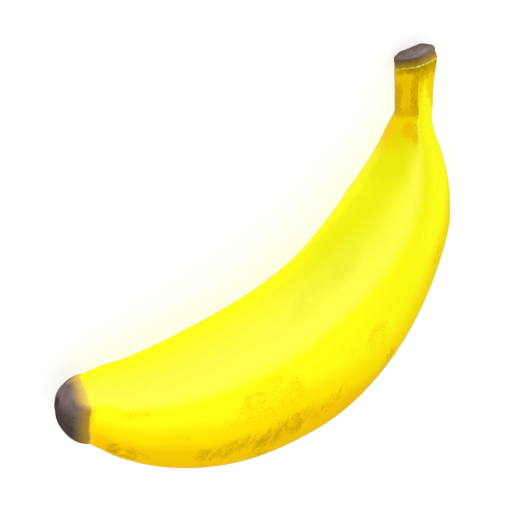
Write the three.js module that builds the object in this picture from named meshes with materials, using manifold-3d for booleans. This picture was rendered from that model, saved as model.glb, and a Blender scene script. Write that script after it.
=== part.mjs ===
// A banana: one whole ripe fruit, picked with its stem on and lying on its side.
// Millimetres, +Z up. X runs from the blossom end (-X) to the stem (+X), and the hollow side of
// the bend faces +Y. The origin is on the surface it lies on, under the middle of the fruit.
import * as THREE from 'three';
import { mergeVertices } from 'three/addons/utils/BufferGeometryUtils.js';
import Module from 'manifold-3d';

const { clamp, degToRad, smoothstep } = THREE.MathUtils;

// Centreline. It starts in the middle of the stem's cut and ends at the blossom end's tip:
// the stem bends a little, and the body bends evenly.
const STEM_LENGTH = 33;
const STEM_BEND_RADIUS = 200;
const BODY_BEND_RADIUS = 70;
const BODY_BEND = degToRad(101.5);
const LENGTH = STEM_LENGTH + BODY_BEND_RADIUS * BODY_BEND;

// Growth along the centreline. Each row is a place measured from the cut, the mean radius there,
// how far the section stands off the centreline toward the hollow side, and how far its faces are
// turned round the centreline, in degrees.
const GROWTH = [
  [0, 5, 0, 20],
  [3, 4.98, 0.05, 20],
  [9, 4.56, 0.1, 20],
  [13, 4.45, -0.1, 21],
  [15.5, 4.45, -0.3, 23],
  [17.5, 4.75, 0.15, 26],
  [20, 5.35, 0.4, 30],
  [23, 6.25, 0.3, 32],
  [27, 7.85, -0.1, 30],
  [30.5, 9.2, -0.35, 27],
  [34, 10.55, -0.38, 25],
  [38, 11.9, -0.33, 23],
  [43, 13.5, -0.1, 20],
  [58, 16.15, 0.35, 12],
  [78, 18.4, 0, 2],
  [90, 19.1, -0.2, -1],
  [100, 18.9, 0, -2],
  [115, 17.8, 0, -2],
  [130, 15.05, 0, 0],
  [140.5, 12, 0, 1],
  [146.5, 9.9, 0.3, 1],
  [150.5, 8.85, -0.7, 0],
  [157, 8.2, -0.25, 0],
];

// The blossom end rounds off over its last few millimetres. A power of 2 is an ellipse, and a
// higher one is blunter.
const TIP_LENGTH = 8;
const TIP_POWER = 2.2;

// Section: five faces round the fruit, as angles from the hollow side. Where the faces are not
// turned, one ridge runs down the middle of the hollow side, and one face lies along the back.
const FACES = [-99, -33, 33, 99, 180].map(degToRad);

// How sharply the faces meet: soft on the dried rim of the cut, crisp on the stem, soft on the
// belly, and firmer again toward the blossom end, whose round knob is soft.
const SOFT = 4.6;
const CRISPER_ON_STEM = 5;
const SHARE_AT_CUT = 0.2;
const RIM_LENGTH = 5;
const CRISP_UNTIL = 16;
const SOFT_FROM = 55;
const FIRMER_BEFORE_TIP = 2;
const FIRMING_LENGTH = 85;
const KNOB_LENGTH = 14;

// The stem was cut at a slant. Sections follow the slant until they are square to the body.
const CUT_SLANT = degToRad(17);
const SLANT_UNTIL = 16;
const SQUARE_FROM = 36;

// Rest: the fruit leans toward its hollow side until the belly and the cut's lower edge both
// bear on the surface, and the soft peel flattens a little there.
const LEAN = degToRad(-16.8);
const PITCH = degToRad(3.1);
const BEARING_DEPTH = 0.6;

// Facets.
const SIDES = 44;
const STATION_STEP = 2.6;
const TIP_STATIONS = 9;

// ---------------------------------------------------------------- shape of the fruit

const growthCurve = new THREE.CubicInterpolant(
  GROWTH.map(([place]) => place),
  GROWTH.flatMap(([, ...values]) => values),
  3,
);

// Radius, offset to the hollow side and turn of the faces at a place along the centreline, with
// the blossom end's rounding.
function growth(place) {
  const [radius, offset, turn] = growthCurve.evaluate(place);
  const roundedOff = clamp((place - (LENGTH - TIP_LENGTH)) / TIP_LENGTH, 0, 1);
  return {
    radius: radius * (1 - roundedOff ** TIP_POWER) ** (1 / TIP_POWER),
    offset,
    turn: degToRad(turn),
  };
}

function sharpness(place) {
  const onStem = 1 - smoothstep(place, CRISP_UNTIL, SOFT_FROM);
  const pastRim = SHARE_AT_CUT + (1 - SHARE_AT_CUT) * smoothstep(place, 0, RIM_LENGTH);
  const knobStart = LENGTH - KNOB_LENGTH;
  const nearKnob = smoothstep(place, knobStart - FIRMING_LENGTH, knobStart);
  const onKnob = smoothstep(place, knobStart, LENGTH);
  return SOFT + CRISPER_ON_STEM * onStem * pastRim + FIRMER_BEFORE_TIP * nearKnob * (1 - onKnob);
}

// Distance from the middle of the section to the skin for a mean radius of 1, at an angle from
// the section's own zero: each face holds the skin back where it looks along the face's normal.
function section(place, angle) {
  const power = sharpness(place);
  let sum = 0;
  for (const face of FACES) {
    sum += Math.max(0, Math.cos(angle - face)) ** power;
  }
  return sum ** (-1 / power);
}

// A point on the centreline with the directions along it, toward the blossom end, and inward,
// toward the hollow side. The two bends meet at the origin, where the fruit runs toward -X.
function centreline(place) {
  const pastStem = place - STEM_LENGTH;
  const radius = pastStem < 0 ? STEM_BEND_RADIUS : BODY_BEND_RADIUS;
  const turn = pastStem / radius;
  const along = new THREE.Vector3(-Math.cos(turn), Math.sin(turn), 0);
  const inward = new THREE.Vector3(Math.sin(turn), Math.cos(turn), 0);
  const point = new THREE.Vector3(0, radius, 0).addScaledVector(inward, -radius);
  return { point, along, inward };
}

// ---------------------------------------------------------------- building steps

// Places along the centreline, with closer ones where the blossom end rounds off.
function stations() {
  const straight = LENGTH - TIP_LENGTH;
  const steps = Math.round(straight / STATION_STEP);
  const places = [];
  for (let i = 0; i <= steps; i += 1) {
    places.push((straight * i) / steps);
  }
  for (let i = 1; i <= TIP_STATIONS; i += 1) {
    places.push(straight + TIP_LENGTH * Math.sin((Math.PI / 2) * (i / TIP_STATIONS)));
  }
  return places;
}

// A straight rod of radius 1 with a ring at each station and an end on the axis.
function rod() {
  const places = stations();
  const tip = places.pop();
  const profile = [new THREE.Vector2(0, 0)];
  for (const place of places) {
    profile.push(new THREE.Vector2(1, place));
  }
  profile.push(new THREE.Vector2(0, tip));
  return new THREE.LatheGeometry(profile, SIDES);
}

// Swells the rod to the fruit's girth and faces, and bends it along the centreline.
function growAlongCentreline(geometry) {
  const position = geometry.attributes.position;
  for (let i = 0; i < position.count; i += 1) {
    const place = position.getY(i);
    const angle = Math.atan2(position.getZ(i), position.getX(i));
    const rodRadius = Math.hypot(position.getX(i), position.getZ(i));
    const { radius, offset, turn } = growth(place);
    const reach = rodRadius * radius * section(place, angle - turn);
    const towardHollow = reach * Math.cos(angle) + offset;
    const slant = Math.tan(CUT_SLANT) * (1 - smoothstep(place, SLANT_UNTIL, SQUARE_FROM));
    const { point, along, inward } = centreline(place);
    point.addScaledVector(inward, towardHollow).addScaledVector(along, towardHollow * slant);
    position.setXYZ(i, point.x, point.y, reach * Math.sin(angle));
  }
}

// Turns the fruit so that the line from its tip to its cut lies along X, then leans it.
function layDown(geometry) {
  const cut = centreline(0).point;
  const tip = centreline(LENGTH).point;
  geometry.rotateZ(-Math.atan2(cut.y - tip.y, cut.x - tip.x));
  geometry.rotateX(LEAN);
  geometry.rotateY(PITCH);
  geometry.computeBoundingBox();
  const box = geometry.boundingBox;
  const middle = box.getCenter(new THREE.Vector3());
  geometry.translate(-middle.x, -middle.y, -box.min.z - BEARING_DEPTH);
}

// Joins each corner shared by several triangles, and drops the triangles that close up on the
// axis.
function joinCorners(geometry) {
  geometry.deleteAttribute('normal');
  geometry.deleteAttribute('uv');
  const joined = mergeVertices(geometry);
  const corners = joined.index.array;
  const kept = [];
  for (let i = 0; i < corners.length; i += 3) {
    const [a, b, c] = corners.slice(i, i + 3);
    if (a !== b && b !== c && c !== a) {
      kept.push(a, b, c);
    }
  }
  joined.setIndex(kept);
  return joined;
}

// Cuts away all that reaches below the surface, which leaves the flat bearing faces.
function flattenBelow(wasm, geometry) {
  const bed = new THREE.BoxGeometry(2 * LENGTH, 2 * LENGTH, LENGTH);
  bed.translate(0, 0, -LENGTH / 2);
  const [fruitSolid, bedSolid] = [geometry, bed].map((shape) => {
    const joined = joinCorners(shape);
    return new wasm.Manifold(new wasm.Mesh({
      numProp: 3,
      vertProperties: new Float32Array(joined.attributes.position.array),
      triVerts: new Uint32Array(joined.index.array),
    }));
  });
  const cut = fruitSolid.subtract(bedSolid).getMesh();
  const result = new THREE.BufferGeometry();
  result.setAttribute('position', new THREE.BufferAttribute(cut.vertProperties, 3));
  result.setIndex(new THREE.BufferAttribute(cut.triVerts, 1));
  result.computeVertexNormals();
  return result;
}

// ---------------------------------------------------------------- the object

const wasm = await Module();
wasm.setup();

const fruit = rod();
growAlongCentreline(fruit);
layDown(fruit);

const ripePeel = new THREE.MeshStandardMaterial({ color: 0xf7dc12, roughness: 0.5, metalness: 0 });
const banana = new THREE.Mesh(flattenBelow(wasm, fruit), ripePeel);
banana.name = 'banana';

const object = new THREE.Group();
object.add(banana);

export default object;
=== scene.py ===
# %% [markdown]
# # A ripe banana, lying on its side
#
# A banana grows as one body, so it is one mesh here: a stem with a dried cut, a neck, a
# five-faced body and a withered blossom end. The frame says where the fruit lies and how big it
# is. This lesson makes the fruit as a straight rod first, because everything is easy to say on a
# straight rod, and then swells and bends the rod into the fruit.

# %% Load the frame
import math
import bpy
import numpy as np
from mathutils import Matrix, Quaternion, Vector, noise


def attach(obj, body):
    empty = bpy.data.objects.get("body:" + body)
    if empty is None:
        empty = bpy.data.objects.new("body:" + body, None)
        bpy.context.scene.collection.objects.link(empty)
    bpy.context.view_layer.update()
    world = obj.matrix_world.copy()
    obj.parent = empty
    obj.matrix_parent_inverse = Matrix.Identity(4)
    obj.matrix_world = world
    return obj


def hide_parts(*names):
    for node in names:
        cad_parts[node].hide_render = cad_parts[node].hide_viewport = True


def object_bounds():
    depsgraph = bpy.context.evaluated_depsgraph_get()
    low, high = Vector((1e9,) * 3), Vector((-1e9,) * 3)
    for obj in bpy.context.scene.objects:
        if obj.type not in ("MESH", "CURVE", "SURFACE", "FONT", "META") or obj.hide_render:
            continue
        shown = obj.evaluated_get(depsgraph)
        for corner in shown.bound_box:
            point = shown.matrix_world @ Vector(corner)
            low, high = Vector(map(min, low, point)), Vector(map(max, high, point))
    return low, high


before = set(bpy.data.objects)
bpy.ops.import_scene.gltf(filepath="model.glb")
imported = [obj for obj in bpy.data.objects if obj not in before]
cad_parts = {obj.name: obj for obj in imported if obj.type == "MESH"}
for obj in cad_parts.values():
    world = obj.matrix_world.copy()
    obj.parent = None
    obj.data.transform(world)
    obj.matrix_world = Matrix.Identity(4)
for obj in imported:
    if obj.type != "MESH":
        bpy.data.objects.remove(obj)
CAD_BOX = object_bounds()
MM = 0.001
print("the fruit lies in a box of", [round((b - a) / MM, 1) for a, b in zip(*CAD_BOX)], "mm")

# %% [markdown]
# ## Camera
#
# The fruit lies down, so the camera looks down on it from its hollow side. It is rolled, which
# brings the stem to the upper right and the blossom end to the lower left. A long lens from half
# a metre away keeps the two ends in proportion.

# %% Place the camera
LOOK_AT = Vector((-0.0019, 0.0141, 0.0075))
CAMERA_DISTANCE = 0.5108
CAMERA_AZIMUTH = math.radians(172)
CAMERA_ELEVATION = math.radians(49)
CAMERA_ROLL = math.radians(144)
LENS = 135
FILM_WIDTH = 36


def toward(azimuth, elevation):
    """The direction from the fruit to a camera or a light."""
    flat = math.cos(elevation)
    return Vector((flat * math.sin(azimuth), -flat * math.cos(azimuth), math.sin(elevation)))


def place_camera():
    camera = bpy.data.objects.new("camera", bpy.data.cameras.new("camera"))
    bpy.context.scene.collection.objects.link(camera)
    camera.data.lens = LENS
    camera.data.sensor_width = FILM_WIDTH
    direction = toward(CAMERA_AZIMUTH, CAMERA_ELEVATION)
    camera.location = LOOK_AT + direction * CAMERA_DISTANCE
    level = direction.to_track_quat("Z", "Y")
    camera.rotation_euler = (level @ Quaternion((0, 0, 1), CAMERA_ROLL)).to_euler()
    bpy.context.scene.camera = camera
    return camera


camera = place_camera()
print("camera at", [round(c, 3) for c in camera.location])

# %% [markdown]
# ## The fruit's own measures
#
# Every point of the skin is named by its place along the centreline, counted from the middle of
# the cut, and by its angle round the centreline, counted from the hollow side. Three rules then
# give the whole shape: the centreline's bend, the girth at each place, and the five faces of the
# section. They are the frame's own measures, so the two models agree. All lengths here are in
# millimetres, and the finished mesh is brought to metres at the end.
#
# The centreline is two arcs: the stem bends a little, and the body bends evenly.

# %% Centreline
STEM_LENGTH = 33
STEM_BEND_RADIUS = 200
BODY_BEND_RADIUS = 70
BODY_BEND = math.radians(101.5)
LENGTH = STEM_LENGTH + BODY_BEND_RADIUS * BODY_BEND


def centreline(place):
    """Points on the centreline, the direction along it, and the direction to the hollow side."""
    past_stem = place - STEM_LENGTH
    radius = np.where(past_stem < 0, STEM_BEND_RADIUS, BODY_BEND_RADIUS)
    turn = past_stem / radius
    flat = np.zeros_like(turn)
    along = np.stack([-np.cos(turn), np.sin(turn), flat], -1)
    inward = np.stack([np.sin(turn), np.cos(turn), flat], -1)
    middle = np.stack([flat, radius, flat], -1)
    return middle - inward * radius[:, None], along, inward


print("centreline", round(LENGTH, 1), "mm")

# %% [markdown]
# A table gives the girth, row by row. Smooth curves run through its rows, and over the last few
# millimetres the blossom end rounds off as a blunt ellipse does.

# %% Girth
# Each row: a place, the mean radius there, how far the section stands off the centreline to the
# hollow side, and how far its faces are turned, in degrees.
GROWTH = np.array([
    (0, 5, 0, 20), (3, 4.98, 0.05, 20), (9, 4.56, 0.1, 20), (13, 4.45, -0.1, 21),
    (15.5, 4.45, -0.3, 23), (17.5, 4.75, 0.15, 26), (20, 5.35, 0.4, 30), (23, 6.25, 0.3, 32),
    (27, 7.85, -0.1, 30), (30.5, 9.2, -0.35, 27), (34, 10.55, -0.38, 25), (38, 11.9, -0.33, 23),
    (43, 13.5, -0.1, 20), (58, 16.15, 0.35, 12), (78, 18.4, 0, 2), (90, 19.1, -0.2, -1),
    (100, 18.9, 0, -2), (115, 17.8, 0, -2), (130, 15.05, 0, 0), (140.5, 12, 0, 1),
    (146.5, 9.9, 0.3, 1), (150.5, 8.85, -0.7, 0), (157, 8.2, -0.25, 0),
])
TIP_LENGTH = 8
TIP_POWER = 2.2


def growth(place):
    """Radius, offset and turn at each place: smooth curves through the table's rows."""
    places, values = GROWTH[:, 0], GROWTH[:, 1:]
    slopes = np.empty_like(values)
    slopes[1:-1] = (values[2:] - values[:-2]) / (places[2:] - places[:-2])[:, None]
    slopes[0] = (values[1] - values[0]) / (places[1] - places[0])
    slopes[-1] = (values[-1] - values[-2]) / (places[-1] - places[-2])
    left = np.clip(np.searchsorted(places, place, side="right") - 1, 0, len(places) - 2)
    span = (places[left + 1] - places[left])[:, None]
    t = np.clip((place - places[left])[:, None] / span, 0, 1)
    keep = 2 * t**3 - 3 * t**2 + 1
    value = keep * values[left] + (1 - keep) * values[left + 1]
    value += (t**3 - 2 * t**2 + t) * span * slopes[left]
    value += (t**3 - t**2) * span * slopes[left + 1]
    rounded = np.clip((place - (LENGTH - TIP_LENGTH)) / TIP_LENGTH, 0, 1)
    radius = value[:, 0] * (1 - rounded**TIP_POWER) ** (1 / TIP_POWER)
    return radius, value[:, 1], np.radians(value[:, 2])


def twist(place):
    """How far the faces are turned round the centreline."""
    return growth(place)[2]


print("thickest", round(2 * max(GROWTH[:, 1]), 1), "mm")

# %% [markdown]
# Round the fruit there are five faces. One ridge runs down the middle of the hollow side, and one
# face lies along the back. The faces meet crisply on the stem, softly on the belly, and more
# firmly again before the blossom end, whose knob is round.

# %% Section
FACES = np.radians([-99, -33, 33, 99, 180])
KNOB_START = LENGTH - 14
SOFT = 4.6
CRISPER_ON_STEM = 5
SHARE_AT_CUT = 0.2
FIRMER_BEFORE_TIP = 2
FIRMING_LENGTH = 85


def rise(values, start, end):
    """0 before start, 1 after end, and a smooth climb between them."""
    share = np.clip((np.asarray(values, float) - start) / (end - start), 0, 1)
    return share * share * (3 - 2 * share)


def section(place, angle):
    """Distance to the skin for a mean radius of 1: each face holds the skin back."""
    past_rim = SHARE_AT_CUT + (1 - SHARE_AT_CUT) * rise(place, 0, 5)
    crisp_stem = CRISPER_ON_STEM * (1 - rise(place, 16, 55)) * past_rim
    firm_shoulder = FIRMER_BEFORE_TIP * rise(place, KNOB_START - FIRMING_LENGTH, KNOB_START)
    soft_knob = 1 - rise(place, KNOB_START, LENGTH)
    power = SOFT + crisp_stem + firm_shoulder * soft_knob
    total = np.zeros_like(place)
    for face in FACES:
        total += np.maximum(0, np.cos(angle - twist(place) - face)) ** power
    return total ** (-1 / power)


belly = section(np.array([90.0, 90.0]), np.radians([0, 180]))
print("the belly's section reaches", [round(float(r), 2) for r in belly], "hollow side, back")

# %% [markdown]
# ## A straight rod
#
# The fruit could be carved from a ball or lofted from hand-drawn rings. A rod is better: one
# cylinder gives clean rings all the way, which follow the fruit's own fibres, and its flat end
# becomes the cut. An operator acts on all that is selected, so first come a few helpers that
# deselect everything and then choose edges or faces by where they lie.

# %% Helpers that read and select
LEVEL = 1e-6


def start_clean():
    bpy.ops.object.select_all(action="DESELECT")


def read_points(mesh):
    points = np.empty(3 * len(mesh.vertices))
    mesh.vertices.foreach_get("co", points)
    return points.reshape(-1, 3)


def choose(mesh, edges=None, faces=None):
    """Select only some edges or only some faces, given as a list of yes and no, and edit them."""
    kind = (False, edges is not None, faces is not None)
    bpy.context.tool_settings.mesh_select_mode = kind
    mesh.vertices.foreach_set("select", np.zeros(len(mesh.vertices), bool))
    mesh.edges.foreach_set("select", np.zeros(len(mesh.edges), bool) if edges is None else edges)
    mesh.polygons.foreach_set(
        "select", np.zeros(len(mesh.polygons), bool) if faces is None else faces
    )
    bpy.ops.object.mode_set(mode="EDIT")


def long_edges(mesh):
    """Which edges run along the rod."""
    heights = read_points(mesh)[:, 2]
    ends = np.empty(2 * len(mesh.edges), int)
    mesh.edges.foreach_get("vertices", ends)
    return np.ptp(heights[ends.reshape(-1, 2)], axis=1) > LEVEL


print("an edge that climbs more than", LEVEL, "is a long one")

# %% [markdown]
# The long edges are subdivided twice to make four hundred rings. The cut end is inset again and
# again, so that it has rings of its own to dish and wrinkle, and its middle is poked to a point.

# %% Make the rod
SIDES = 216
RINGS_FIRST = 20
RINGS_AGAIN = 20
CUT_RINGS = 16


def make_rod():
    start_clean()
    bpy.ops.mesh.primitive_cylinder_add(vertices=SIDES, radius=1, depth=1, location=(0, 0, 0.5))
    rod = bpy.context.object
    bpy.ops.object.transform_apply(location=True)
    for rings in (RINGS_FIRST, RINGS_AGAIN):
        choose(rod.data, edges=long_edges(rod.data))
        bpy.ops.mesh.subdivide(number_cuts=rings - 1)
        bpy.ops.object.mode_set(mode="OBJECT")
    choose(rod.data, faces=np.array([face.normal.z < -0.5 for face in rod.data.polygons]))
    for ring in range(CUT_RINGS):
        bpy.ops.mesh.inset(thickness=1 / (CUT_RINGS + 1), depth=0)
    bpy.ops.mesh.poke()
    bpy.ops.object.mode_set(mode="OBJECT")
    return rod


banana = make_rod()
banana.name = "banana_fruit"
print("the rod has", len(banana.data.vertices), "corners")

# %% [markdown]
# ## Relief of the skin
#
# The body of a banana is smooth, but its ends have dried, torn and shrunk. Such small shapes
# could be only a bump in the material, but then the mesh wouldn't have them. Here each is a rule
# that gives a height in millimetres. Nearly all of them push the skin inward, so the fruit stays
# in the frame's box. A few helpers serve all the rules. The noise is read on the straight rod, so
# that it follows the fibres round the bend.

# %% Noise and lumps
def noise_on(points, size, seed):
    """Smooth noise between -1 and 1, with lumps of a given size in millimetres."""
    shift = Vector((seed * 17.3, seed * 5.1, seed * 9.7))
    return np.array([noise.noise(Vector(p) + shift) for p in points / size])


def wrapped(angle):
    """The same angle, brought to within half a turn of zero."""
    return (angle + math.pi) % (2 * math.pi) - math.pi


def bell(off, width):
    """1 where off is 0, and smoothly down to nearly 0 at twice the width on either side."""
    return np.exp(-((off / width) ** 2))


def lumps(angle, rows):
    """Soft lumps round the fruit. Each row: an angle and a width in degrees, and a height."""
    total = np.zeros_like(angle)
    for middle, width, height in rows:
        total += height * bell(wrapped(angle - math.radians(middle)), math.radians(width))
    return total


print("at its width, a lump is", round(float(bell(1, 1)), 2), "of its height")

# %% [markdown]
# Two ragged lines divide the skin. Just below the cut, the dried skin has torn from the live one.
# At the blossom end, the yellow skin stops where the knob has withered. Each line is a sum of
# waves round the fruit, so it closes on itself, and the materials read the same lines.

# %% Where the skin changes
TEAR = 2.4
KNOB_LINE = 149.6


def tear_line(angle):
    """Where the dried skin has torn, along the centreline, at each angle."""
    ragged = 0.1 * np.sin(3 * angle + 0.4) + 0.08 * np.sin(7 * angle)
    ragged += 0.05 * np.sin(13 * angle + 2)
    return TEAR - 0.3 * np.cos(angle) + ragged


def knob_line(angle):
    """Where the yellow skin ends at the blossom end, at each angle: sooner on the back."""
    even = KNOB_LINE + 2.6 * np.cos(angle) + 0.33 * np.cos(2 * angle)
    on_edge = bell(np.abs(angle) - math.radians(72), math.radians(16))
    behind_edge = bell(np.abs(angle) - math.radians(95), math.radians(16))
    ragged = 0.15 * np.sin(3 * angle + 1) + 0.12 * np.sin(7 * angle) + 0.1 * np.sin(13 * angle + 1)
    return even - 0.35 * on_edge + 0.45 * behind_edge + ragged


print("tear", TEAR, "mm from the cut, knob", round(LENGTH - float(knob_line(0)), 1), "mm long")

# %% [markdown]
# The belly swells and sinks by a tenth of a millimetre, which keeps it from looking turned on a
# lathe. The stem is fibrous: its faces have sunk between its edges, and fine grooves run along
# it. Noise that is squeezed along the rod before it is read makes long grooves of round lumps.

# %% Heights on the body and the stem
BELLY_SWELL = 0.12
GROOVE_DEPTH = 0.07
GROOVE_SQUEEZE = (1, 1, 0.08)
FACE_DEPTH = 0.22
HALF_FACE = math.radians(33)


def unevenness(rod_points, place):
    """The belly isn't quite even."""
    calm_ends = rise(place, 20, 45) * (1 - rise(place, 135, 150))
    return BELLY_SWELL * calm_ends * (noise_on(rod_points, size=22, seed=1) - 1)


def stem_fibres(rod_points, place):
    """Grooves that run along the stem and fade out on the neck."""
    squeezed = rod_points * GROOVE_SQUEEZE
    grooves = noise_on(squeezed, size=0.8, seed=2) + 0.6 * noise_on(squeezed, size=0.35, seed=3)
    on_stem = (1 - rise(place, 14, 34)) * (0.3 + 0.7 * rise(place, 0, 3))
    return GROOVE_DEPTH * (grooves - 1) * on_stem


def sunken_stem_faces(place, angle):
    """The stem's faces have sunk a little between its edges."""
    off_faces = np.abs(wrapped((angle - twist(place))[:, None] - FACES))
    off_edge = 1 - np.clip(off_faces.min(axis=1) / HALF_FACE, 0, 1)
    return -FACE_DEPTH * off_edge * (1 - rise(place, 12, 26)) * rise(place, 0.5, 4)


print("grooves", GROOVE_DEPTH, "mm deep, faces sunk by", FACE_DEPTH, "mm")

# %% [markdown]
# The dried collar is drawn in above the tear, and the live skin below it lifts to a thin lip. The
# rim of the cut flares, its corners are worn, and it is rounded, because a knife edge catches no
# light. The cut has dried to cork: dished inside a low rim, wrinkled in rings, and pitted.

# %% Heights by the cut
RIM_RADIUS = 0.25
RIM_LUMPS = [(-90, 20, 0.25), (163, 15, -0.6), (-45, 15, -0.5)]
LIP_HEIGHT = 0.12
DISH_DEPTH = 0.55


def torn_collar(place, angle):
    """The dried collar is drawn in above the tear, and the skin below it lifts to a thin lip."""
    below = place - tear_line(angle)
    drawn_in = -0.06 * (1 - rise(below, -0.3, 0.05))
    open_part = rise(np.sin(2 * angle + 1.2) + 0.4 * np.sin(5 * angle), -0.5, 0.5)
    return drawn_in + LIP_HEIGHT * bell(below - 0.25, 0.22) * open_part


def rounded_rim(place, angle):
    """The rim of the cut flares a little, its corners are worn, and it has no knife edge."""
    from_rim = np.clip(1 - place / RIM_RADIUS, 0, 1)
    rounding = -RIM_RADIUS * (1 - np.sqrt(1 - from_rim**2))
    flare = 0.24 + 0.03 * np.cos(angle) - 0.12 * np.sin(angle)
    return rounding + (flare + lumps(angle, RIM_LUMPS)) * (1 - rise(place, 0.8, 2.4))


def cork_dish(share, rod_points):
    """How far the dried cut lies inside its rim, at each share of the way out from its middle."""
    dish = DISH_DEPTH * (1 - rise(share, 0.35, 0.93))
    rings = 0.07 * np.cos(share * 21 + 2.5 * noise_on(rod_points, size=3.5, seed=5))
    pits = 0.22 * np.clip(noise_on(rod_points, size=0.9, seed=6) - 0.25, 0, 1)
    return (dish + rings + pits) * (1 - rise(share, 0.9, 1.0))


print("lip", LIP_HEIGHT, "mm high, cut dished by", DISH_DEPTH, "mm")

# %% [markdown]
# The blossom end has withered to a puckered knob. A crease runs round it where the live skin
# stops, folds deepen toward the small sunken scar of the flower, and it has dried unevenly, so
# that its end is lumpy.

# %% Heights of the blossom end
CREASE_DEPTH = 0.16
FOLD_DEPTH = 0.09
KNOB_LUMPS = [(-95, 38, 0.35), (-162, 16, -0.35), (152, 16, 0.35)]


def puckered_knob(place, angle):
    """A crease round the knob, and folds that deepen toward the scar."""
    crease = -CREASE_DEPTH * bell(place - knob_line(angle) + 0.1, 0.7)
    deep = rise(place, LENGTH - 5, LENGTH - 0.4)
    folds = np.cos(5 * angle + 0.6) + 0.5 * np.cos(11 * angle + 1) - 0.6
    return crease + FOLD_DEPTH * deep * folds


def shrivelled_tip(place, angle):
    """How far the blossom end stands out along the centreline: lumpy, with a sunken scar."""
    from_tip = LENGTH - place
    scar = -0.45 * (1 - rise(from_tip, 0, 0.12)) - 0.2 * (1 - rise(from_tip, 0.05, 0.35))
    return scar + lumps(angle, KNOB_LUMPS) * rise(from_tip, 0.02, 0.25) * (1 - rise(from_tip, 1, 4))


scar_depth = -float(shrivelled_tip(LENGTH, np.array([0.0]))[0])
print("crease", CREASE_DEPTH, "mm deep, scar", round(scar_depth, 2), "mm deep")

# %% [markdown]
# ## Places for the rings
#
# Rings are wanted close together on the stem and on the knob, where the small shapes are, and
# wider on the belly. So the rod's height isn't the place itself: it is spread to places, slowly
# at the ends and quickly in the middle, and slowest of all where the tip rounds off.

# %% Spread the rings
HEIGHTS = [0, 0.25, 0.33, 0.75, 1]
PLACES = [0, 22, 35, 140, LENGTH]


def spread(height):
    """Places along the centreline for heights on the rod."""
    place = np.interp(height, HEIGHTS, PLACES)
    tip_start = LENGTH - TIP_LENGTH
    rounded = np.clip((place - tip_start) / TIP_LENGTH, 0, 1)
    return np.where(rounded > 0, tip_start + TIP_LENGTH * np.sin(rounded * math.pi / 2), place)


gaps = np.diff(spread(np.linspace(0, 1, RINGS_FIRST * RINGS_AGAIN + 1)))
print("rings are up to", round(gaps.max(), 2), "mm apart")

# %% [markdown]
# ## Grow and bend the rod
#
# Each corner is moved out to the skin, given its relief, and carried to its place on the bent
# centreline. A curve modifier could bend the rod, but it knows nothing of the slanted cut. What
# the materials have to know about a corner is kept on it, so that it stays with the skin.

# %% Helpers that write to a mesh
def write_points(mesh, points):
    mesh.vertices.foreach_set("co", np.ascontiguousarray(points, dtype=np.float32).ravel())
    mesh.update()


def keep_on_skin(mesh, name, kind, values):
    """Store a value or a vector on every corner, for the materials to read."""
    layer = mesh.attributes.new(name, kind, "POINT")
    field = "vector" if kind == "FLOAT_VECTOR" else "value"
    layer.data.foreach_set(field, np.ascontiguousarray(values, dtype=np.float32).ravel())


print("ready to write to a mesh of", len(banana.data.vertices), "corners")

# %% Grow the fruit
CUT_SLANT = math.radians(17)
SLANT_UNTIL = 16
SQUARE_FROM = 36
CALM_RADIUS = 3
RIM_SHARE = 0.999


def relief_of(rod_points, place, angle):
    """The height of the skin, from all the rules above."""
    relief = unevenness(rod_points, place) + stem_fibres(rod_points, place)
    relief += sunken_stem_faces(place, angle) + torn_collar(place, angle)
    return relief + rounded_rim(place, angle) + puckered_knob(place, angle)


def bend(place, angle, reach, stands_out):
    """Carry points to the bent centreline. Near the cut they lie aslant to it."""
    point, along, inward = centreline(place)
    toward_hollow = reach * np.cos(angle) + growth(place)[1]
    slant = math.tan(CUT_SLANT) * (1 - rise(place, SLANT_UNTIL, SQUARE_FROM))
    push = toward_hollow * slant + stands_out
    fruit = point + inward * toward_hollow[:, None] + along * push[:, None]
    fruit[:, 2] += reach * np.sin(angle)
    return fruit


def grow(mesh):
    rod = read_points(mesh)
    share = np.hypot(rod[:, 0], rod[:, 1])
    angle = np.arctan2(rod[:, 1], rod[:, 0])
    place = spread(rod[:, 2])
    skin = growth(place)[0] * section(place, angle)
    round_rod = np.stack([skin * share * np.cos(angle), skin * share * np.sin(angle), place], -1)
    calm_at_tip = np.clip(skin / CALM_RADIUS, 0, 1)
    reach = (skin + relief_of(round_rod, place, angle) * calm_at_tip) * share
    stands_out = shrivelled_tip(place, angle)
    stands_out += np.where(share < RIM_SHARE, cork_dish(share, round_rod), 0)
    write_points(mesh, bend(place, angle, reach, stands_out))

    turned = wrapped(angle - twist(place))
    keep_on_skin(mesh, "rod", "FLOAT_VECTOR", round_rod)
    keep_on_skin(mesh, "round", "FLOAT", np.abs(turned) / math.pi)
    keep_on_skin(mesh, "side", "FLOAT", np.sin(turned))
    keep_on_skin(mesh, "past_tear", "FLOAT", place - tear_line(angle))
    keep_on_skin(mesh, "past_knob_line", "FLOAT", place - knob_line(angle))


grow(banana.data)
print("grown to", round(np.ptp(read_points(banana.data)[:, 0]), 1), "mm long")

# %% [markdown]
# ## Lay the fruit down
#
# The fruit is turned so that the line from tip to cut lies along X. Then it leans toward its
# hollow side and pitches toward its stem, until the belly and the cut's lower edge both bear on
# the surface. The frame's box says where it lies. The box holds the cut with its corner whole, so
# the worn corner's length is counted in. What would reach below the surface is pressed flat, as
# soft peel is under the fruit's own weight.

# %% Lay it down
LEAN = math.radians(-16.8)
PITCH = math.radians(3.1)
WORN_CORNER = 0.23 * MM


def turned_about(points, axis, angle):
    return points @ np.array(Quaternion(axis, angle).to_matrix()).T


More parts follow.
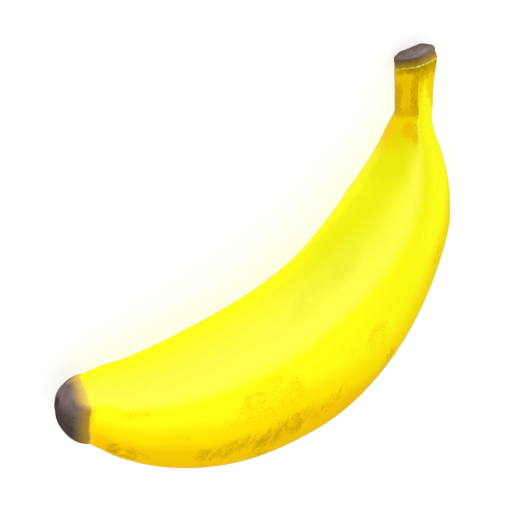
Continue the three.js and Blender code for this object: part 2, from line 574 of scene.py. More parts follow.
def lay_down(mesh):
    cut, tip = centreline(np.array([0.0, LENGTH]))[0]
    chord = cut - tip
    points = turned_about(read_points(mesh), (0, 0, 1), -math.atan2(chord[1], chord[0]))
    points = turned_about(points, (1, 0, 0), LEAN)
    points = turned_about(points, (0, 1, 0), PITCH) * MM
    low, high = points.min(axis=0), points.max(axis=0)
    high[0] += WORN_CORNER
    box_low, box_high = np.array(CAD_BOX)
    points[:, :2] += ((box_low + box_high - low - high) / 2)[:2]
    points[:, 2] += box_high[2] - high[2]
    pressed = points[:, 2] < 0
    points[pressed, 2] = 0
    write_points(mesh, points)
    return int(pressed.sum())


print(lay_down(banana.data), "corners pressed flat on the surface")

# %% [markdown]
# ## Close and smooth the mesh
#
# All corners of the last ring have met at the tip, so they are merged into one, and the bend has
# turned the rod inside out, so the normals are made to point outward again. Smooth shading does
# the rest, except where faces meet at more than fifty degrees, which keeps the tear crisp.

# %% Close and smooth
SAME_PLACE = 0.0001 * MM
CRISP_ANGLE = math.radians(50)


def close_and_smooth(fruit):
    start_clean()
    fruit.select_set(True)
    bpy.context.view_layer.objects.active = fruit
    bpy.context.tool_settings.mesh_select_mode = (True, False, False)
    bpy.ops.object.mode_set(mode="EDIT")
    bpy.ops.mesh.select_all(action="SELECT")
    bpy.ops.mesh.remove_doubles(threshold=SAME_PLACE)
    bpy.ops.mesh.normals_make_consistent(inside=False)
    bpy.ops.object.mode_set(mode="OBJECT")
    bpy.ops.object.shade_smooth_by_angle(angle=CRISP_ANGLE)


close_and_smooth(banana)
print(len(banana.data.polygons), "faces")

# %% [markdown]
# ## Tools for the materials
#
# A material is a tree of small nodes. This helper adds a node, sets it, joins its inputs and
# gives back what comes out, so that a colour can be read as one short sentence after another.

# %% A helper for node trees
class Nodes:
    """Adds nodes to one tree: each method gives back the socket that comes out."""

    def __init__(self, tree):
        self.tree = tree

    def add(self, kind, inputs, **settings):
        node = self.tree.nodes.new(kind)
        for name, value in settings.items():
            setattr(node, name, value)
        for socket, value in inputs.items():
            if isinstance(value, bpy.types.NodeSocket):
                self.tree.links.new(value, node.inputs[socket])
            else:
                node.inputs[socket].default_value = value
        return node

    def group(self, group, inputs):
        return self.add("ShaderNodeGroup", inputs, node_tree=group).outputs

    def on_skin(self, name, output="Fac"):
        """A value kept on the corners of the mesh."""
        return self.add("ShaderNodeAttribute", {}, attribute_name=name).outputs[output]

    def on_rod(self):
        """The place of this point on the straight rod, in millimetres."""
        return self.on_skin("rod", "Vector")

    def maths(self, operation, a, b=0.0):
        return self.add("ShaderNodeMath", {0: a, 1: b}, operation=operation).outputs[0]

    def times(self, a, b):
        return self.maths("MULTIPLY", a, b)

    def plus(self, a, b):
        return self.maths("ADD", a, b)

    def rise(self, value, start, end):
        """0 before start, 1 after end. It falls instead where end is below start."""
        inputs = {"Value": value, "From Min": start, "From Max": end}
        node = self.add("ShaderNodeMapRange", inputs, interpolation_type="SMOOTHSTEP")
        return node.outputs["Result"]

    def bump_at(self, value, centre, width):
        """1 at the centre, and smoothly down to 0 at the width on either side."""
        off = self.maths("ABSOLUTE", self.plus(value, -centre))
        return self.rise(off, width, 0.0)

    def stretched(self, vector, by):
        node = self.add("ShaderNodeVectorMath", {0: vector, 1: by}, operation="MULTIPLY")
        return node.outputs[0]

    def noise(self, where, scale, detail=2.0, roughness=0.5, distortion=0.0):
        """Cloudy noise between 0 and 1, with about as many lumps to a millimetre as its scale."""
        inputs = {
            "Vector": where, "Scale": scale, "Detail": detail,
            "Roughness": roughness, "Distortion": distortion,
        }
        return self.add("ShaderNodeTexNoise", inputs).outputs["Fac"]

    def mix(self, share, a, b):
        """Colour a, with this share of colour b laid over it."""
        return self.add("ShaderNodeMix", {0: share, 6: a, 7: b}, data_type="RGBA").outputs[2]


print("a node can be added in", len([m for m in vars(Nodes) if m[0] != "_"]), "ways")

# %% Helpers for groups, materials and colours
def new_group(name, inputs, outputs):
    """An empty node group with its named sockets."""
    tree = bpy.data.node_groups.new(name, "ShaderNodeTree")
    for label, kind in inputs:
        tree.interface.new_socket(label, in_out="INPUT", socket_type="NodeSocket" + kind)
    for label, kind in outputs:
        tree.interface.new_socket(label, in_out="OUTPUT", socket_type="NodeSocket" + kind)
    start = tree.nodes.new("NodeGroupInput").outputs
    end = tree.nodes.new("NodeGroupOutput").inputs
    return tree, start, end


def new_material(name):
    """A new material, a helper for its tree, and its shader."""
    material = bpy.data.materials.new(name)
    material.use_nodes = True
    shader = material.node_tree.nodes["Principled BSDF"]
    return material, Nodes(material.node_tree), shader


def colour(red, green, blue):
    """A colour given as it looks on a screen, from 0 to 255, for a shader."""
    shares = [c / 255 for c in (red, green, blue)]
    linear = [s / 12.92 if s <= 0.04045 else ((s + 0.055) / 1.055) ** 2.4 for s in shares]
    return (*linear, 1)


print("a middle grey is", round(colour(128, 128, 128)[0], 3), "to a shader")

# %% [markdown]
# ## Effects that the materials share
#
# Fibres run along the whole fruit, and show as fine streaks in colour and as fine grooves. Cork
# is what both ends dry to: a mauve grey with darker pores. Each is a group, made once and placed
# where it is needed with its own values.

# %% Fibre group
def make_fibres():
    tree, start, end = new_group(
        "fibres",
        [("Where", "Vector"), ("Size", "Float"), ("Raggedness", "Float")],
        [("Streaks", "Float"), ("Grooves", "Float")],
    )
    n = Nodes(tree)
    lengthwise = n.stretched(start["Where"], (1, 1, 0.07))
    coarse = n.noise(lengthwise, start["Size"], 4, 0.6, start["Raggedness"])
    fine = n.noise(lengthwise, n.times(start["Size"], 4), 2, 0.5)
    tree.links.new(n.rise(coarse, 0.42, 0.68), end["Streaks"])
    tree.links.new(n.plus(n.times(coarse, 0.6), n.times(fine, 0.4)), end["Grooves"])
    return tree


FIBRES = make_fibres()
print("group", FIBRES.name, "has", len(FIBRES.nodes), "nodes")

# %% Cork group
def make_cork():
    tree, start, end = new_group(
        "cork",
        [("Where", "Vector"), ("Pale", "Color"), ("Dark", "Color"), ("Pore Size", "Float")],
        [("Color", "Color"), ("Height", "Float")],
    )
    n = Nodes(tree)
    cloud = n.noise(start["Where"], 0.35, 4, 0.6, 0.4)
    grain = n.noise(start["Where"], n.times(start["Pore Size"], 1.6), 3, 0.6)
    pores = n.rise(n.noise(start["Where"], start["Pore Size"], 2, 0.5, 0.2), 0.63, 0.72)
    uneven = n.plus(n.times(cloud, 0.6), n.times(grain, 0.4))
    body = n.mix(n.rise(uneven, 0.35, 0.65), start["Dark"], start["Pale"])
    tree.links.new(n.mix(n.times(pores, 0.4), body, start["Dark"]), end["Color"])
    tree.links.new(n.plus(n.times(grain, 0.6), n.times(pores, -0.5)), end["Height"])
    return tree


CORK = make_cork()
print("group", CORK.name, "has", len(CORK.nodes), "nodes")

# %% [markdown]
# ## The ripe peel
#
# A ripe peel is bright yellow, but never one yellow. Its colours could be painted on an image,
# but an image has seams and a grain, so they are rules instead. Each rule takes the colour so far
# and lays the next one over part of it. The rules ask where a point is: "along" is its place in
# millimetres from the cut, "round" goes from 0 on the hollow side to 1 on the back, and "side" is
# above 0 on the half that faces up. In n.rise(value, start, end), a colour sets in at one number
# and is full at the other.

# %% What the rules ask of a point
KEPT_VALUES = ("round", "side", "past_tear", "past_knob_line")
FINE_GRAIN = 2.6
DRIFT_GIRTH = 57


def stem_grain(n, at):
    """Grain drawn out along the stem, and places and a front edge made ragged by it."""
    ragged = n.plus(n.noise(n.stretched(at["rod"], (1, 1, 0.4)), FINE_GRAIN / 2, 5, 0.7), -0.5)
    fine = n.noise(n.stretched(at["rod"], (1, 1, 0.5)), FINE_GRAIN, 4, 0.7)
    speckled = n.plus(fine, -0.5)
    return {
        "ragged": ragged,
        "fine": fine,
        "speckled": speckled,
        "loose": n.plus(at["along"], n.times(ragged, 4)),
        "to_neck": n.plus(at["along"], n.times(ragged, 1.2)),
        "front": n.rise(n.plus(at["round"], n.times(speckled, 0.06)), 0.392, 0.372),
    }


def drift(n, at):
    """A place in which noise runs aslant to the fruit, as rubs do."""
    girthwise = n.times(at["round"], DRIFT_GIRTH)
    streak = n.times(n.plus(girthwise, at["along"]), 0.42)
    over_streak = n.plus(girthwise, n.times(at["along"], -1))
    inputs = {0: streak, 1: over_streak, 2: n.times(at["side"], 4)}
    return n.add("ShaderNodeCombineXYZ", inputs).outputs[0]


def ask_skin(n):
    """Everything that the rules for the peel ask of a point."""
    at = {"rod": n.on_rod()}
    at["along"] = n.add("ShaderNodeSeparateXYZ", {0: at["rod"]}).outputs["Z"]
    for name in KEPT_VALUES:
        at[name] = n.on_skin(name)
    at["fibres"] = n.group(FIBRES, {"Where": at["rod"], "Size": 0.9, "Raggedness": 0.3})
    at["cloud"] = n.noise(at["rod"], 0.045, 2, 0.5)
    at["drift"] = drift(n, at)
    at.update(stem_grain(n, at))
    return at


print("the rules ask for", KEPT_VALUES)

# %% [markdown]
# The hollow side ripens last. The face above its middle is still a little green, and its middle
# is a clear, bright yellow. The part that faces down is painted that bright yellow too, as light
# from below.

# %% Hollow side
YELLOW = colour(238, 236, 17)
HOLLOW_YELLOW_AND_UNDERLIGHT = colour(249, 246, 12)
HOLLOW_GREEN = colour(222, 222, 18)


def hollow_side(n, at):
    """The plain yellow of the peel, the hollow side's green and clear yellow, and painted light
    below.
    """
    face = n.rise(at["round"], 0.42, 0.34)
    green = n.times(n.times(face, n.rise(at["along"], 98, 60)), n.rise(at["cloud"], 0.1, 0.45))
    past_neck = n.plus(n.times(n.rise(at["along"], 26, 46), 0.5), 0.42)
    # Painted light: the part that faces down is brighter, as if lit from below.
    painted_underlight = n.times(n.rise(at["side"], 0.1, -0.3), past_neck)
    peel = n.mix(n.times(green, n.plus(n.times(painted_underlight, -1), 1)), YELLOW, HOLLOW_GREEN)
    toward_tip = n.plus(n.times(n.rise(at["along"], 50, 85), 0.7), 0.2)
    middle = n.times(n.rise(at["round"], 0.1, 0.0), toward_tip)
    return n.mix(n.times(n.maths("MAXIMUM", painted_underlight, middle), face), peel, HOLLOW_YELLOW_AND_UNDERLIGHT)


print("yellow is", [round(c, 3) for c in YELLOW[:3]])

# %% [markdown]
# Along the edge between the hollow side and the outer faces, a pale band is painted as a highlight,
# and the shoulder outside it is bright by the neck. The pale band narrows toward the stem.

# %% Shoulder and pale edge
SHOULDER_YELLOW = colour(247, 247, 26)
PALE_EDGE_HIGHLIGHT = colour(235, 234, 69)


def pale_edge_highlight(n, at, peel):
    """A bright shoulder near the neck, and a painted highlight: a pale band along the hollow side's
    edge.
    """
    shoulder = n.times(n.rise(at["round"], 0.44, 0.58), n.bump_at(at["along"], 32, 34))
    peel = n.mix(n.times(shoulder, 0.9), peel, SHOULDER_YELLOW)
    # Painted highlight: a pale band along the edge, narrower toward the stem.
    toward_stem = n.rise(at["along"], 80, 35)
    starts = n.plus(n.times(toward_stem, 0.14), -0.02)
    full = n.plus(n.times(toward_stem, 0.12), 0.31)
    ends = n.plus(n.times(toward_stem, 0.04), 0.415)
    band = n.times(n.rise(at["round"], starts, full), n.rise(at["round"], ends, 0.35))
    return n.mix(n.times(band, n.rise(at["along"], 14, 30)), peel, PALE_EDGE_HIGHLIGHT)


print("the edge's blue is", round(PALE_EDGE_HIGHLIGHT[2] / YELLOW[2], 1), "times the plain yellow's")

# %% [markdown]
# Some marks sit in one place: green spots, rubs and crumbs. A table says where, and one helper
# turns a table into a mask: an oval for each row, with its strength in the middle. What a mark
# looks like inside its oval is left to noise.

# %% Spots, and the last green
SPOT_TILT = 0.004
NECK_GREEN = colour(215, 216, 11)
DULL_GREEN = colour(219, 222, 44)

# Each row: a place along the fruit, how far the spot reaches to either side of it, a share of the
# way round to the back, its reach there, and a strength.
GREEN_TINGE = [(61, 10, 0.2, 0.08, 1), (75, 12, 0.22, 0.07, 0.8)]


def spots(n, at, rows):
    """1 in the middle of each spot in a table, 0 between them. The spots lie a little aslant."""
    total = 0.0
    for place, length, around, width, strength in rows:
        off = n.plus(at["along"], -place)
        lengthwise = n.times(off, 1 / length)
        level = n.plus(at["round"], n.times(off, -SPOT_TILT))
        crosswise = n.times(n.plus(level, -around), 1 / width)
        far = n.plus(n.times(lengthwise, lengthwise), n.times(crosswise, crosswise))
        total = n.maths("MAXIMUM", total, n.times(n.rise(far, 1.3, 0.0), strength))
    return n.times(total, n.rise(at["side"], 0.0, 0.1))


def last_green(n, at, peel):
    """Green beside the neck, and a dull green tinge in two spots on the hollow side."""
    by_neck = n.times(n.bump_at(at["along"], 28.5, 10), n.rise(at["round"], 0.36, 0.2))
    by_neck = n.times(by_neck, n.rise(at["side"], -0.7, 0.3))
    peel = n.mix(by_neck, peel, NECK_GREEN)
    cloudy = n.rise(n.noise(at["rod"], 0.12, 4, 0.6), 0.25, 0.55)
    tinge = n.times(spots(n, at, GREEN_TINGE), cloudy)
    return n.mix(n.times(tinge, 0.7), peel, DULL_GREEN)


print(len(GREEN_TINGE), "green spots")

# %% [markdown]
# Toward the back the peel is painted warm and then gold as shade, and the border wavers and comes
# further round toward the blossom end. Faint warm streaks follow the fibres all over.

# %% Golden back
WARM_YELLOW_AND_BACK_SHADE = colour(238, 213, 2)
SHADED_BACK_GOLD = colour(230, 186, 1)


def shaded_back(n, at, peel):
    """Painted shade: warm yellow and then gold toward the back, past a wavering border."""
    wavy = n.plus(at["round"], n.times(n.plus(at["cloud"], -0.5), 0.06))
    for start, end in ((20, 50), (66, 100)):
        wavy = n.plus(wavy, n.times(n.rise(at["along"], start, end), 0.13))
    # Painted shade toward the back: warm yellow, then gold; the far back eases to warm yellow
    # again.
    peel = n.mix(n.rise(wavy, 0.74, 0.86), peel, WARM_YELLOW_AND_BACK_SHADE)
    peel = n.mix(n.rise(wavy, 0.86, 0.95), peel, SHADED_BACK_GOLD)
    return n.mix(n.times(n.rise(at["round"], 0.76, 0.92), 0.6), peel, WARM_YELLOW_AND_BACK_SHADE)


def fine_streaks(n, at, peel):
    """Faint warm streaks that follow the fibres."""
    return n.mix(n.times(at["fibres"]["Streaks"], 0.08), peel, WARM_YELLOW_AND_BACK_SHADE)


print("gold is", [round(c, 3) for c in SHADED_BACK_GOLD[:3]])

# %% [markdown]
# Where the belly has rubbed on other fruit in the box, its skin shows faint golden crumbs. On the
# half that faces up each patch has its place. On the hidden half, patches of noise put them.

# %% Golden crumbs
CRUMB_GOLD = colour(232, 202, 4)
CRUMBS = [
    (102, 11, 0.53, 0.15, 0.75), (107, 5, 0.49, 0.06, 1), (100.5, 4, 0.56, 0.05, 0.9),
    (95, 3, 0.52, 0.07, 0.9), (114, 4, 0.59, 0.05, 0.8), (71.5, 4.5, 0.595, 0.06, 1),
    (79, 5, 0.55, 0.06, 0.25), (138, 4, 0.43, 0.04, 1), (128, 5, 0.6, 0.06, 0.5),
]


def golden_crumbs(n, at, peel):
    """Faint golden crumbs on the side of the belly."""
    crumbs = n.noise(at["rod"], 0.5, 7, 0.8, 1.2)
    patches = n.rise(n.noise(at["rod"], 0.1, 2, 0.5), 0.52, 0.66)
    belly = n.times(n.bump_at(at["round"], 0.55, 0.2), n.bump_at(at["along"], 95, 45))
    elsewhere = n.times(n.times(patches, belly), n.rise(at["side"], 0.1, -0.1))
    where = n.maths("MAXIMUM", spots(n, at, CRUMBS), n.times(elsewhere, 0.7))
    crumbled = n.rise(n.plus(crumbs, n.times(where, 0.12)), 0.5, 0.75)
    return n.mix(n.times(n.times(crumbled, n.rise(where, 0.0, 0.5)), 0.9), peel, CRUMB_GOLD)


print(len(CRUMBS), "patches of crumbs")

# %% [markdown]
# The back's edges stand out, so they rub hardest, and there the bruised skin turns olive. A rub is
# solid inside and ragged outside, so the mask is added to fine noise, and the sum is cut off
# steeply.

# %% Olive scuffs
SCUFF_OLIVE = colour(184, 146, 4)
SCUFFS = [
    (104, 10, 0.685, 0.05, 0.55), (100.2, 3.5, 0.69, 0.035, 0.8), (106.8, 4.5, 0.69, 0.04, 0.9),
    (116, 9, 0.685, 0.04, 0.6), (115, 3.5, 0.69, 0.02, 0.85), (122, 2.5, 0.69, 0.035, 0.85),
    (138.5, 2.2, 0.72, 0.06, 0.8), (142.5, 2, 0.725, 0.06, 0.95), (140, 7, 0.73, 0.05, 0.5),
    (91, 8, 0.68, 0.03, 0.25), (73.4, 2.5, 0.73, 0.03, 0.45), (50, 4, 0.7, 0.03, 0.2),
]
SCUFF_STEEPNESS = 4.5
SCUFF_STRENGTH = 0.85


def olive_scuffs(n, at, peel):
    """Olive rubs on the back's edges: solid inside, ragged outside."""
    streaks = n.noise(at["drift"], 0.75, 7, 0.82, 0.8)
    patches = n.noise(at["rod"], 0.075, 2, 0.5)
    back = n.times(n.rise(at["round"], 0.66, 0.74), n.rise(at["along"], 60, 90))
    below = n.times(n.rise(at["side"], 0.0, -0.1), n.bump_at(at["round"], 0.66, 0.1))
    elsewhere = n.times(n.maths("MAXIMUM", back, below), n.rise(patches, 0.5, 0.62))
    elsewhere = n.times(n.times(elsewhere, n.bump_at(at["along"], 105, 55)), 0.7)
    where = n.maths("MAXIMUM", spots(n, at, SCUFFS), elsewhere)
    rubbed = n.maths("SUBTRACT", n.plus(streaks, n.times(where, 0.17)), 0.53)
    rubbed = n.maths("MAXIMUM", n.times(rubbed, SCUFF_STEEPNESS), 0.0)
    rubbed = n.maths("MINIMUM", rubbed, SCUFF_STRENGTH)
    return n.mix(n.times(rubbed, n.rise(where, 0.0, 0.2)), peel, SCUFF_OLIVE)


print(len(SCUFFS), "scuffs")

# %% [markdown]
# Where the body narrows to the stem, the peel is thick and turns a greenish orange, with two
# brownish smudges in the bend.

# %% Neck
NECK_ORANGE = colour(221, 193, 0)
NECK_GOLD = colour(213, 200, 0)
STEM_ORANGE = colour(236, 198, 0)
STEM_GOLD = colour(215, 176, 0)
NECK_SMUDGE = [(19, 2.6, 0.24, 0.11, 1), (20.5, 3, 0.33, 0.06, 0.8)]


def neck(n, at, peel):
    """The neck's orange and gold on the hollow side, and its smudges."""
    on_neck = n.times(n.rise(at["loose"], 29, 20), n.rise(at["round"], 0.385, 0.33))
    below = n.rise(at["side"], 0.1, -0.1)
    gold = n.mix(n.rise(at["loose"], 18, 23), NECK_ORANGE, NECK_GOLD)
    peel = n.mix(on_neck, peel, n.mix(n.times(below, 0.8), gold, STEM_ORANGE))
    smudge = n.times(spots(n, at, NECK_SMUDGE), n.rise(at["fine"], 0.2, 0.5))
    return n.mix(smudge, peel, STEM_GOLD)


print(len(NECK_SMUDGE), "smudges on the neck")

# %% [markdown]
# The stem's front face, toward the hollow side, is golden and ends in a sharp line on the neck.
# Its edges are rubbed olive, with darker dirt in the fibres, and the olive runs on down the edge
# to the neck in specks.

# %% Front of the stem
STEM_OLIVE = colour(190, 154, 0)
STEM_DIRT = colour(152, 122, 0)


def stem_front(n, at, peel):
    """The golden face between the stem's edges, darker just above the neck."""
    on_stem = n.times(n.rise(at["to_neck"], 16.3, 15.3), at["front"])
    peel = n.mix(on_stem, peel, STEM_GOLD)
    at_neck = n.times(n.rise(at["to_neck"], 12.5, 14.5), n.rise(at["round"], 0.03, 0.1))
    return n.mix(n.times(n.times(on_stem, at_neck), 0.4), peel, STEM_OLIVE)


def stem_edges(n, at, peel):
    """Olive along the stem's edges, and specks of it down to the neck."""
    inner = n.plus(at["round"], n.times(at["ragged"], 0.3))
    by_edge = n.times(n.rise(inner, 0.25, 0.29), n.rise(at["round"], 0.405, 0.375))
    by_edge = n.times(by_edge, n.rise(at["loose"], 17.5, 14))
    by_hollow = n.times(n.rise(at["loose"], 5, 8), n.rise(at["to_neck"], 16, 14))
    by_hollow = n.times(n.rise(inner, 0.11, 0.06), by_hollow)
    specks = n.times(n.rise(inner, 0.3, 0.35), n.rise(at["round"], 0.41, 0.38))
    specks = n.times(n.times(specks, n.rise(at["loose"], 25, 17)), n.rise(at["fine"], 0.5, 0.62))
    olive = n.maths("MAXIMUM", n.maths("MAXIMUM", by_edge, by_hollow), n.times(specks, 0.7))
    peel = n.mix(n.times(olive, n.rise(at["fine"], 0.25, 0.55)), peel, STEM_OLIVE)
    dirt = n.times(olive, n.rise(at["fine"], 0.52, 0.68))
    return n.mix(n.times(dirt, 0.7), peel, STEM_DIRT)


print("olive is", [round(c, 3) for c in STEM_OLIVE[:3]])

# %% [markdown]
# Behind its front, the stem keeps a tongue of the body's bright yellow in the middle of the face,
# with orange on either side of it, and browns toward the tear. Just below the tear, dirt has
# caught all round.

# %% Back of the stem
TONGUE_MIDDLE = 0.54
TONGUE_TAPER = -42


def stem_back(n, at, peel):
    """Orange round a bright tongue, and olive toward the tear."""
    behind = n.rise(at["front"], 1, 0)
    off_middle = n.maths("ABSOLUTE", n.plus(at["round"], -TONGUE_MIDDLE))
    rough_place = n.plus(at["loose"], n.times(at["speckled"], 12))
    from_tongue = n.plus(rough_place, n.times(off_middle, TONGUE_TAPER))
    orange = n.times(n.rise(from_tongue, 9.5, 5), behind)
    peel = n.mix(n.times(orange, 0.85), peel, STEM_ORANGE)
    by_tear = n.rise(n.plus(at["loose"], n.times(at["speckled"], 6)), 8, 4.5)
    return n.mix(n.times(n.times(by_tear, behind), 0.85), peel, STEM_OLIVE)


def dirt_below_tear(n, at, peel):
    """Dirt caught below the tear, most of it on the front."""
    below_tear = n.rise(n.plus(at["past_tear"], n.times(at["ragged"], 2.5)), 2.3, 0.9)
    strength = n.plus(n.times(n.bump_at(at["round"], 0.25, 0.4), 0.65), 0.33)
    return n.mix(n.times(below_tear, strength), peel, STEM_DIRT)


print("the tongue lies", TONGUE_MIDDLE, "of the way round to the back")

# %% [markdown]
# Above the tear the dried collar goes from olive to the cut's brown on the front, a painted shaded
# copy, and from gold to a paler brown behind, a painted lit copy. The torn lip shows the peel's
# pale inside. It is broken by grain, and brighter behind than in the hollow.

# %% Collar and lip
SHADED_COLLAR_BROWN = colour(90, 73, 47)
SHADED_COLLAR_OLIVE = colour(150, 122, 20)
LIT_COLLAR_PALE = colour(132, 109, 70)
LIT_COLLAR_GOLD = colour(176, 146, 40)
LIP_CREAM = colour(250, 224, 92)


def collar_and_lip(n, at, peel):
    """The dried collar above the tear, browner toward the cut, painted shaded in front and lit
    behind, and the pale torn lip.
    """
    grain = n.noise(at["rod"], 1.6, 4, 0.65)
    fibre = n.noise(n.stretched(at["rod"], (1, 1, 0.25)), 2.2, 3, 0.6)
    ragged = n.plus(at["past_tear"], n.times(n.plus(grain, -0.5), 0.3))
    to_lip = n.plus(ragged, n.times(n.plus(fibre, -0.5), 1.6))
    # Painted shade and light: a shaded copy of the collar in front, and a lit copy behind.
    shaded = n.mix(n.rise(to_lip, -2.3, 0.1), SHADED_COLLAR_BROWN, SHADED_COLLAR_OLIVE)
    lit = n.mix(n.rise(to_lip, -2.2, 0.1), LIT_COLLAR_PALE, LIT_COLLAR_GOLD)
    collar = n.mix(n.rise(at["round"], 0.34, 0.52), shaded, lit)
    peel = n.mix(n.rise(ragged, 0.1, -0.15), peel, collar)
    bright = n.plus(n.times(n.rise(at["round"], 0.18, 0.4), 0.65), 0.35)
    lip = n.times(n.bump_at(ragged, 0.2, 0.34), n.rise(grain, 0.42, 0.52))
    return n.mix(n.times(lip, bright), peel, LIP_CREAM)


print("cream is", [round(c, 3) for c in LIP_CREAM[:3]])

# %% [markdown]
# At the blossom end the yellow stops at the knob's line. Past it the skin is tan on the hollow
# side, a painted highlight, and olive behind, and both fade to cork. The cork is mauve, lighter on
# the hollow side with a painted highlight, and nearly black on the back with painted shade.

# %% Withered knob
KNOB_FRINGE = colour(236, 196, 14)
KNOB_TAN_HIGHLIGHT = colour(232, 195, 88)
KNOB_OLIVE = colour(166, 132, 36)
KNOB_MAUVE_HIGHLIGHT = colour(124, 107, 104)
KNOB_SHADED_DARK = colour(76, 64, 60)
KNOB_SHADED_DARKEST = colour(60, 50, 47)
CORK_SHADE = colour(104, 88, 86)


def knob_cork(n, at):
    """The cork of the knob: mauve with a painted highlight toward the hollow side, painted shade
    toward the back.
    """
    # Painted highlight on the hollow side, and painted shade toward the back.
    shade_to_back = n.rise(at["round"], 0.34, 0.72)
    pale = n.mix(shade_to_back, KNOB_MAUVE_HIGHLIGHT, KNOB_SHADED_DARK)
    dark = n.mix(shade_to_back, CORK_SHADE, KNOB_SHADED_DARKEST)
    return n.group(CORK, {"Where": at["rod"], "Pale": pale, "Dark": dark, "Pore Size": 1.5})


def withered_knob(n, at, peel, cork):
    """Tan on the hollow faces, a painted highlight, and olive behind them, both fading to cork."""
    speckled = n.plus(n.noise(at["rod"], 0.8, 4, 0.65), -0.5)
    past = n.plus(at["past_knob_line"], n.times(speckled, 0.7))
    behind = n.rise(n.plus(at["round"], n.times(speckled, 0.05)), 0.36, 0.44)
    peel = n.mix(n.times(n.times(n.rise(past, -1.6, -0.1), behind), 0.8), peel, KNOB_FRINGE)
    # Painted highlight: tan on the hollow faces; olive behind them.
    peel = n.mix(n.rise(past, -0.3, 0.5), peel, n.mix(behind, KNOB_TAN_HIGHLIGHT, KNOB_OLIVE))
    cork_full = n.plus(n.times(n.rise(at["round"], 0.3, 0.12), -1.5), 4.9)
    cork_full = n.plus(cork_full, n.times(n.rise(at["round"], 0.1, 0.0), 0.7))
    return n.mix(n.rise(past, n.times(behind, -0.6), cork_full), peel, cork)


print("mauve is", [round(c, 3) for c in KNOB_MAUVE_HIGHLIGHT[:3]])

# %% [markdown]
# Now the peel is put together. It is waxy but hardly glossy, as light spreads wide on it. Its
# gloss is one even value, so it is set on the shader itself. Its roughness rises on the withered
# parts. A fine bump adds the fibres and the pores, which are too small to model.

# %% The peel material
PEEL_GLOSS = 0.01
PEEL_ROUGHNESS = 0.48
WITHERED_ROUGHER = 0.22
PEEL_RULES = [
    pale_edge_highlight, last_green, shaded_back, fine_streaks, golden_crumbs, olive_scuffs,
    neck, stem_front, stem_edges, stem_back, dirt_below_tear, collar_and_lip,
]


def make_peel():
    material, n, shader = new_material("ripe_peel")
    at = ask_skin(n)
    cork = knob_cork(n, at)
    peel = hollow_side(n, at)
    for rule in PEEL_RULES:
        peel = rule(n, at, peel)
    peel = withered_knob(n, at, peel, cork["Color"])

    on_knob = n.rise(at["past_knob_line"], -0.2, 1.5)
    on_collar = n.rise(at["past_tear"], 0.3, -0.8)
    withered = n.maths("MAXIMUM", on_knob, on_collar)
    rough = n.plus(n.times(withered, WITHERED_ROUGHER), PEEL_ROUGHNESS)
    relief = n.plus(n.times(at["fibres"]["Grooves"], 0.25), n.times(cork["Height"], withered))
    bump = n.add("ShaderNodeBump", {"Strength": 0.35, "Distance": 0.15 * MM, "Height": relief})
    n.tree.links.new(peel, shader.inputs["Base Color"])
    n.tree.links.new(rough, shader.inputs["Roughness"])
    n.tree.links.new(bump.outputs[0], shader.inputs["Normal"])
    shader.inputs["Specular IOR Level"].default_value = PEEL_GLOSS
    return material


PEEL = make_peel()
print(PEEL.name, "has", len(PEEL.node_tree.nodes), "nodes")

# %% [markdown]
# ## The dried cut
#
# Where the stem was cut it has dried to cork. Painted shade darkens it toward the rim and toward
# the hollow side. It is pitted, and ringed with the dark dots of the veins that fed the fruit. Its
# pattern is read on the flat of the cut, so that the pits aren't drawn out in depth.

# %% The cut material
CORK_PALE = colour(164, 146, 142)
CORK_DARK = colour(112, 96, 92)
CUT_SHADE = colour(100, 86, 81)
CUT_GLOSS = 0.08
CUT_ROUGHNESS = 0.78


def cut_colour(n, flat, cork, veins, from_middle):
    """Cork, with painted shade toward the hollow and the rim, and dark veins."""
    across, sideways = n.add("ShaderNodeSeparateXYZ", {0: flat}).outputs[:2]
    shade_to_hollow = n.plus(n.times(across, 0.5), n.times(sideways, -0.87))
    # Painted shade: darker toward the hollow side, and toward the rim.
    face = n.mix(n.times(n.rise(shade_to_hollow, -4, 4.5), 0.75), cork["Color"], CUT_SHADE)
    face = n.mix(n.times(n.rise(from_middle, 3.2, 4.9), 0.5), face, SHADED_COLLAR_BROWN)
    return n.mix(n.times(veins, 0.75), face, CORK_DARK)


def make_cut():
    material, n, shader = new_material("dried_cut")
    flat = n.stretched(n.on_rod(), (1, 1, 0))
    inputs = {"Where": flat, "Pale": CORK_PALE, "Dark": CORK_DARK, "Pore Size": 2.2}
    cork = n.group(CORK, inputs)
    length = n.add("ShaderNodeVectorMath", {0: flat}, operation="LENGTH")
    from_middle = length.outputs["Value"]
    cells = n.add("ShaderNodeTexVoronoi", {"Vector": flat, "Scale": 1.5}).outputs["Distance"]
    veins = n.times(n.rise(cells, 0.24, 0.12), n.bump_at(from_middle, 2.9, 1.3))
    face = cut_colour(n, flat, cork, veins, from_middle)
    relief = n.plus(cork["Height"], n.times(veins, -0.6))
    bump = n.add("ShaderNodeBump", {"Strength": 0.6, "Distance": 0.2 * MM, "Height": relief})
    n.tree.links.new(face, shader.inputs["Base Color"])
    n.tree.links.new(bump.outputs[0], shader.inputs["Normal"])
    shader.inputs["Roughness"].default_value = CUT_ROUGHNESS
    shader.inputs["Specular IOR Level"].default_value = CUT_GLOSS
    return material


CUT = make_cut()
print(CUT.name, "has", len(CUT.node_tree.nodes), "nodes")

# %% [markdown]
# ## Dress the fruit
#
# The peel goes everywhere but on the cut's own rings, which are the faces whose corners all lie
# at the very start of the rod. The frame is told that this mesh stands for its banana.

# %% Dress the fruit
AT_START = 0.0001


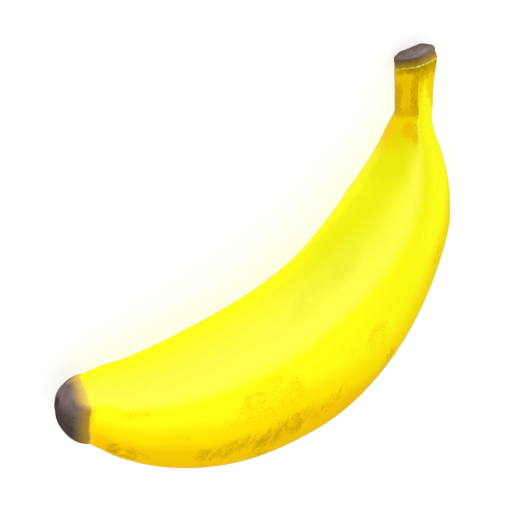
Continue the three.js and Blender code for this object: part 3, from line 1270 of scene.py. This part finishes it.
def dress(fruit):
    """Put the peel on the fruit, and the dried cut on its first rings."""
    mesh = fruit.data
    mesh.materials.clear()
    mesh.materials.append(PEEL)
    mesh.materials.append(CUT)
    rod = np.empty(3 * len(mesh.vertices), dtype=np.float32)
    mesh.attributes["rod"].data.foreach_get("vector", rod)
    places = rod.reshape(-1, 3)[:, 2]
    on_cut = [int(max(places[i] for i in face.vertices) < AT_START) for face in mesh.polygons]
    mesh.polygons.foreach_set("material_index", on_cut)
    return sum(on_cut)


print(dress(banana), "faces on the cut")
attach(banana, "root")
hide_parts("banana")

# %% [markdown]
# ## Floor and light
#
# The fruit lies on a plain pale sheet that glows a little, like a light table. It stays white
# round the fruit and lights its under side, where a plain white floor would turn yellow beside
# it. The air round it is an even white too, which keeps the peel's colours clean. Two large soft
# lamps shape the fruit: a key lamp from high above, and a fill from low on the hollow side.

# %% Floor
FLOOR_SHADE = (0.35, 0.35, 0.35, 1)
FLOOR_ROUGHNESS = 0.9
FLOOR_GLOW = 0.67
WHITE = (1, 1, 1, 1)


def pale_sheet():
    material, _, shader = new_material("pale_floor")
    shader.inputs["Base Color"].default_value = FLOOR_SHADE
    shader.inputs["Roughness"].default_value = FLOOR_ROUGHNESS
    shader.inputs["Specular IOR Level"].default_value = 0.1
    shader.inputs["Emission Color"].default_value = WHITE
    shader.inputs["Emission Strength"].default_value = FLOOR_GLOW
    return material


def lay_floor():
    start_clean()
    bpy.ops.mesh.primitive_plane_add(size=4, location=(0, 0, 0))
    floor = bpy.context.object
    floor.name = "floor"
    floor.data.materials.append(pale_sheet())
    return floor


print("floor", lay_floor().dimensions.x, "m wide")

# %% Light
AIR_STRENGTH = 0.8
LAMP_DISTANCE = 1.2
LAMP_SIZE = 0.9
# Each row: a name, the direction to the lamp in degrees round and up, and its power in watts.
LAMPS = [("key", 215, 75, 4), ("fill", 175, 30, 3)]


def soft_lamp(name, azimuth, elevation, power):
    lamp = bpy.data.objects.new(name, bpy.data.lights.new(name, "AREA"))
    bpy.context.scene.collection.objects.link(lamp)
    direction = toward(math.radians(azimuth), math.radians(elevation))
    lamp.location = direction * LAMP_DISTANCE
    lamp.rotation_euler = direction.to_track_quat("Z", "Y").to_euler()
    lamp.data.size = LAMP_SIZE
    lamp.data.energy = power
    return lamp


def light_the_air():
    world = bpy.data.worlds.new("studio")
    world.use_nodes = True
    air = world.node_tree.nodes["Background"].inputs
    air["Color"].default_value = WHITE
    air["Strength"].default_value = AIR_STRENGTH
    bpy.context.scene.world = world
    bpy.context.scene.view_settings.view_transform = "Standard"


light_the_air()
print("lamps:", [soft_lamp(*row).name for row in LAMPS])

# %% [markdown]
# ## The frame's box
#
# The fruit should lie inside the frame's box by a few tenths of a millimetre at most.
